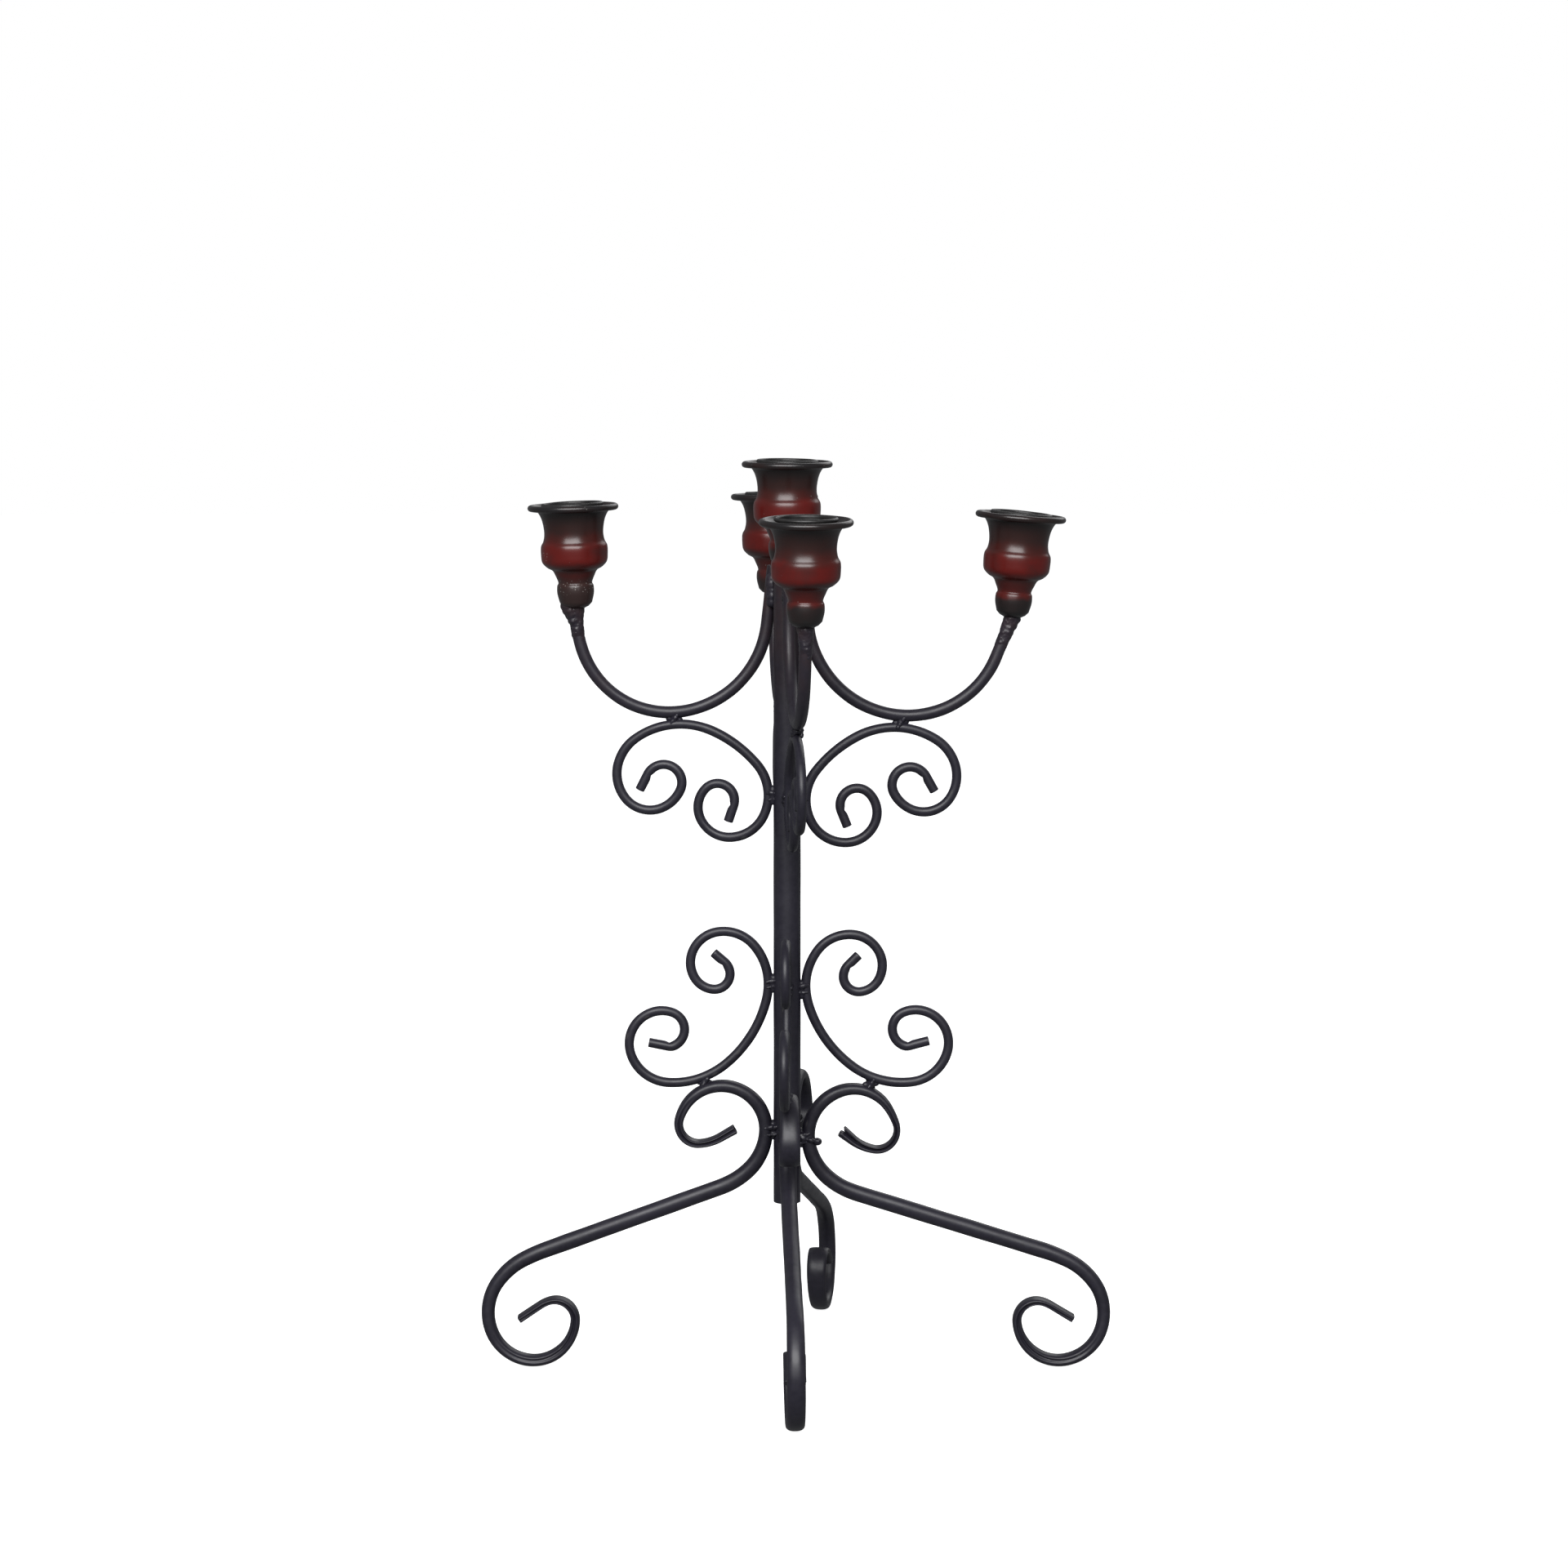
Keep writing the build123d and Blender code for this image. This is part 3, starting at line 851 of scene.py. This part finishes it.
def cup_gradient(tree, rise, knob_red):
    """Colour by height. knob_red tells how much of the knob's red shows through the soot."""
    ramp = add_node(tree, "ShaderNodeValToRGB", {"Fac": rise})
    ramp.color_ramp.interpolation = "EASE"
    stops = ramp.color_ramp.elements
    for count, (share, colour) in enumerate(CUP_COLOURS):
        stop = stops[count] if count < 2 else stops.new(share)
        stop.position = share
    for stop, (share, colour) in zip(stops, CUP_COLOURS):
        tone = colour
        if share < KNOB_TOP and knob_red < 1:
            tone = tuple(knob_red * c + (1 - knob_red) * dark for c, dark in zip(colour, SOOT))
        stop.color = (*tone, 1.0)
    return ramp.outputs["Color"]


def dust_and_glint_specks(tree, place, rise, seed, grit_and_glints):
    """Share of light specks, partly dust and partly painted glints: rare ones, and many of them round the
    knob of a gritty cup, where they are painted glints off grit.
    """
    inputs = {"Vector": place, "Scale": SPECKS_PER_METRE}
    cells = add_node(tree, "ShaderNodeTexVoronoi", inputs).outputs["Distance"]
    # Light specks, partly dust and partly painted glints.
    dust_and_glint = spread(tree, cells, from_low=0.08, from_high=0.22, low=0.6, high=0.0)
    where = cloud(tree, place, wavelength=3.5, seed=seed, detail=1.0, from_low=0.66, from_high=0.72)
    if grit_and_glints:
        above_foot = spread(tree, rise, from_low=0.12, from_high=0.2)
        below_waist = spread(tree, rise, from_low=0.24, from_high=KNOB_TOP, low=1.0, high=0.0)
        where = sums(tree, "MAXIMUM", where, sums(tree, "MULTIPLY", above_foot, below_waist))
    return sums(tree, "MULTIPLY", dust_and_glint, where)


def cup_finish(place_name, seed, knob_red, grit_and_glints):
    """Black cup with candle-red paint blown over its bulge, smoky at its edges."""
    material, tree, shader = new_finish("cup_paint_" + place_name, 0.5)
    place = place_of(tree)
    rise = sums(tree, "DIVIDE", height_of(tree, place), CUP_HEIGHT * MM)
    drift = cloud(tree, place, 16, seed, 3.0, low=-0.045, high=0.045, from_low=0.25, from_high=0.75)
    colour = cup_gradient(tree, sums(tree, "ADD", rise, drift), knob_red)
    smoke = cloud(tree, place, 11, seed + 4, 4.0, high=0.62, from_low=0.42, from_high=0.78)
    colour = blend(tree, smoke, colour, SMOKE)
    # Light specks over the colour: partly dust, partly painted glints.
    specks = dust_and_glint_specks(tree, place, rise, seed + 8, grit_and_glints)
    colour = blend(tree, specks, colour, DUST_AND_GLINT)
    tree.links.new(colour, shader.inputs["Base Color"])
    sheen = cloud(tree, place, wavelength=9, seed=seed + 2, low=0.27, high=0.33)
    tree.links.new(sheen, shader.inputs["Roughness"])
    bumps(tree, shader, place, CUP_RELIEF, seed + 20)
    return material


LINER_DARK = (0.009, 0.009, 0.009)
LINER_RUBBED = (0.02, 0.019, 0.019)
LINER_RELIEF = ((1.0, 0.02), (0.3, 0.008))


def liner_finish():
    """Thin blackened sheet, rubbed here and there."""
    material, tree, shader = new_finish("liner_black", 0.5)
    place = place_of(tree)
    rubbed = cloud(tree, place, wavelength=6, seed=3, detail=3.0)
    colour = blend(tree, rubbed, LINER_DARK, LINER_RUBBED)
    tree.links.new(colour, shader.inputs["Base Color"])
    sheen = cloud(tree, place, wavelength=4, seed=7, detail=4.0, low=0.32, high=0.5)
    tree.links.new(sheen, shader.inputs["Roughness"])
    bumps(tree, shader, place, LINER_RELIEF, seed=11)
    return material


# The object

WELD_RELIEF = ((0.9, 0.03), (0.3, 0.008))
CUP_WELD_RELIEF = ((0.9, 0.04), (0.3, 0.01))
bare_iron = iron_finish("iron_paint", seed=1)
arm_iron = iron_finish("iron_paint_overspray", seed=4, overspray=0.9)
weld_iron = iron_finish("weld_paint", 6, overspray=0.25, rough=(0.3, 0.46), relief=WELD_RELIEF)
cup_weld_iron = iron_finish("cup_weld_paint", 8, overspray=0.9, rough=(0.28, 0.44), relief=CUP_WELD_RELIEF)
liner_black = liner_finish()
record_mounts = {mount["name"]: mount for mount in frame["record"]["mounts"]}


def make_post():
    """Post, with its tube's lower end open."""
    matrix = Matrix.Translation(Vector((POST_X, 0, 0)) * MM)
    make_turned("post_tube", "post", post_profile(), arm_iron, matrix, POST_WAVES, seed=2)


def make_arm(side, count):
    """Arm of one side, and the weld that holds its cup."""
    azimuth, heading, bends = ARMS[side]
    plane = Plane(azimuth)
    path = walk(heading, bends)
    section = round_section(ARM_R)
    make_rod("arm_rod_" + side, "arm_" + side, plane, path, section, SHEARED_END, 10 + count, arm_iron)
    flare = LEFT_FLARE if side == "left" else []
    lumps = collar_lumps(plane, path, 90 + count, flare)
    make_weld("cup_collar_" + side, "cup_weld_" + side, lumps, 80 + count, cup_weld_iron)


def make_scroll(kind, side, azimuth, turned, ahead, behind, seed):
    """Upper or lower scroll of one side, both ends nicked by the bending jaw."""
    path = both_ways(turned, ahead, behind)
    section = round_section(SCROLL_R, jaw_marks(path, ahead, behind))
    name = kind + "_rod_" + side
    make_rod(name, kind + "_" + side, Plane(azimuth), path, section, SHEARED_END, seed, bare_iron)


def make_leg(side, count):
    """Leg of one side: upper curl, knee, straight run and the curled foot."""
    azimuth, turned, run, curl, mouth = LEGS[side]
    knee = LEG_KNEE + [(run, 0)]
    knee_length = walk(0, knee)[-1][3]
    path = both_ways(turned, knee + LEG_FOOT, curl)
    section = leg_section(path, knee_length, mouth)
    name = "leg_tube_" + side
    make_rod(name, "leg_" + side, Plane(azimuth), path, section, HOLLOW_END, 40 + count, bare_iron)


def cup_axis(spot):
    """Direction of a cup's axis. The cups of the arms lean outwards."""
    tilt = radians(CUP_TILT[spot])
    azimuth = 0.0 if spot == "top" else ARMS[spot][0]
    return (UP * cos(tilt) + Plane(azimuth).out * sin(tilt)).normalized()


def standing(base, axis):
    """Matrix that stands a turned piece on a point along an axis."""
    return Matrix.Translation(base) @ UP.rotation_difference(axis).to_matrix().to_4x4()


def make_cup(spot, count):
    """Cup whose rolled rim touches the sides and the top of its CAD node's box."""
    low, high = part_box("cup_" + spot)
    axis = cup_axis(spot)
    rim_middle = Vector(((low.x + high.x) / 2, (low.y + high.y) / 2, 0))
    tilt = radians(CUP_TILT[spot])
    rim_middle.z = high.z - (RIM_R - BEAD_R) * MM * sin(tilt) - BEAD_R * MM
    base = rim_middle - axis * (CUP_HEIGHT - BEAD_R) * MM
    paint = cup_finish(spot, 50 + 7 * count, KNOB_REDS[spot], spot == "left")
    make_turned("candle_cup_" + spot, "cup_" + spot, cup_profile(), paint,
                standing(base, axis), CUP_WAVES, 60 + count)


def make_liner(spot, count):
    """Liner on the axis of its cup's candle socket."""
    mount = record_mounts["candle_socket_" + spot]
    axis = Vector(mount["axis"]).normalized()
    base = Vector(mount["pos_m"]) - axis * SOCKET_HEIGHT * MM
    make_turned("candle_liner_" + spot, "liner_" + spot, liner_profile(), liner_black,
                standing(base, axis), LINER_WAVES, 70 + count)


# Weld on the post: its kind, the rod's azimuths, how far out its middle lies, its half width, and the
# radius, the distance apart and the slope of its two runs, in mm.
POST_WELDS = [
    ("upper_weld", UPPER_SCROLLS, POST_R + 2.2, SCROLL_R, 1.0, 2.6, 0.5),
    ("lower_weld", LOWER_SCROLLS, POST_R + 2.2, SCROLL_R, 1.0, 2.6, 0.5),
    ("leg_weld", LEGS, POST_R + 3.2, TUBE_R, 1.15, 2.8, 0.8),
]


def make_welds(side, count):
    """Every weld of one side but the one under its cup."""
    for row, (kind, rods, rod_out, rod_half, radius, apart, lift) in enumerate(POST_WELDS):
        node = kind + "_" + side
        azimuth = rods[side][0]
        height = middle_of(node).z
        seed = 100 + 10 * count + row
        lumps = tack_lumps(azimuth, height, rod_out, rod_half, radius, apart, lift, seed)
        if node == "leg_weld_right":
            lumps += drip_lumps(azimuth, height)
        make_weld(node.replace("weld", "tack"), node, lumps, seed + 10, weld_iron)
    make_weld("arm_seam_" + side, "arm_weld_" + side, [], 160 + count, weld_iron)
    node = "arm_scroll_weld_" + side
    lumps = bow_lumps(node, UPPER_SCROLLS[side][0], 190 + count)
    make_weld("arm_scroll_tack_" + side, node, lumps, 170 + count, weld_iron)
    node = "scroll_leg_weld_" + side
    lumps = bow_lumps(node, LOWER_SCROLLS[side][0], 200 + count)
    make_weld("scroll_leg_tack_" + side, node, lumps, 180 + count, weld_iron)


make_post()
for count, side in enumerate(SIDES):
    make_arm(side, count)
    make_scroll("upper_scroll", side, *UPPER_SCROLLS[side], UPPER_INNER, UPPER_OUTER, 20 + count)
    make_scroll("lower_scroll", side, *LOWER_SCROLLS[side], LOWER_OUTER, LOWER_UPPER, 30 + count)
    make_leg(side, count)

for count, spot in enumerate(PLACES):
    make_cup(spot, count)
    make_liner(spot, count)

for count, side in enumerate(SIDES):
    make_welds(side, count)
make_weld("cup_collar_top", "cup_weld_top", [], 85, cup_weld_iron)

# Studio: pale floor, one large soft light in front, a weaker one behind and a white surround.

FLOOR_HALF = 6.0
FLOOR_GAP = 0.0002  # below the feet
WHITE = (1, 1, 1, 1)
PALE = (0.8, 0.8, 0.8, 1)
COOL_WHITE = (0.95, 0.97, 1, 1)
SURROUND_LIGHT = 0.2  # share of the white surround that lights the object
LOOK_AT = (0, 0, 0.2)
CAMERA_PLACE = (-0.0049, -2.0244, 0.4775)
CAMERA_DOWN = 6.53  # degrees below level
CAMERA_LENS = 112.99


def floor_finish():
    """Matt paper, bright enough to fade into the white surround."""
    material, tree, shader = new_finish("pale_floor", 0.1)
    shader.inputs["Base Color"].default_value = PALE
    shader.inputs["Roughness"].default_value = 0.9
    shader.inputs["Emission Color"].default_value = WHITE
    shader.inputs["Emission Strength"].default_value = 0.9
    return material


def make_floor():
    """Pale floor just under the feet. It casts no colour on the object."""
    mesh = bpy.data.meshes.new("studio_floor")
    corners = [(x * FLOOR_HALF, y * FLOOR_HALF, 0) for x, y in ((-1, -1), (1, -1), (1, 1), (-1, 1))]
    mesh.from_pydata(corners, [], [(0, 1, 2, 3)])
    floor = bpy.data.objects.new("studio_floor", mesh)
    floor.location.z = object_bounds()[0].z - FLOOR_GAP
    floor.visible_diffuse = False
    floor.visible_glossy = False
    bpy.context.scene.collection.objects.link(floor)
    mesh.materials.append(floor_finish())


def softbox(name, place, width, height, watts):
    """Rectangular light that faces the object, in metres and watts."""
    light = bpy.data.lights.new(name, "AREA")
    light.shape = "RECTANGLE"
    light.size = width
    light.size_y = height
    light.energy = watts
    lamp = bpy.data.objects.new(name, light)
    lamp.location = place
    lamp.rotation_mode = "QUATERNION"
    lamp.rotation_quaternion = (Vector(place) - Vector(LOOK_AT)).to_track_quat("Z", "Y")
    lamp.visible_camera = False
    bpy.context.scene.collection.objects.link(lamp)


def make_surround():
    """World that is white where it is seen and dim where it lights the object."""
    world = bpy.data.worlds.new("studio")
    world.use_nodes = True
    bpy.context.scene.world = world
    tree = world.node_tree
    tree.nodes.clear()
    dim = add_node(tree, "ShaderNodeBackground", {"Color": COOL_WHITE, "Strength": SURROUND_LIGHT})
    white = add_node(tree, "ShaderNodeBackground", {"Color": WHITE, "Strength": 1.0})
    seen = add_node(tree, "ShaderNodeLightPath").outputs["Is Camera Ray"]
    mixed = add_node(tree, "ShaderNodeMixShader", {"Fac": seen})
    tree.links.new(dim.outputs[0], mixed.inputs[1])
    tree.links.new(white.outputs[0], mixed.inputs[2])
    add_node(tree, "ShaderNodeOutputWorld", {"Surface": mixed.outputs[0]})


def make_camera():
    """Camera in front of the object and a little above it."""
    camera_data = bpy.data.cameras.new("photo_camera")
    camera_data.lens = CAMERA_LENS
    camera_data.sensor_width = 36.0
    camera = bpy.data.objects.new("photo_camera", camera_data)
    camera.location = CAMERA_PLACE
    camera.rotation_euler = (radians(90 - CAMERA_DOWN), 0, 0)
    bpy.context.scene.collection.objects.link(camera)
    bpy.context.scene.camera = camera


make_floor()
softbox("key_light", (-0.3, -2.4, 1.8), width=2.7, height=1.7, watts=124)
softbox("fill_back", (1.2, 2.4, 1.8), width=2.6, height=1.6, watts=18)
make_surround()
bpy.context.scene.view_settings.view_transform = "Standard"
make_camera()
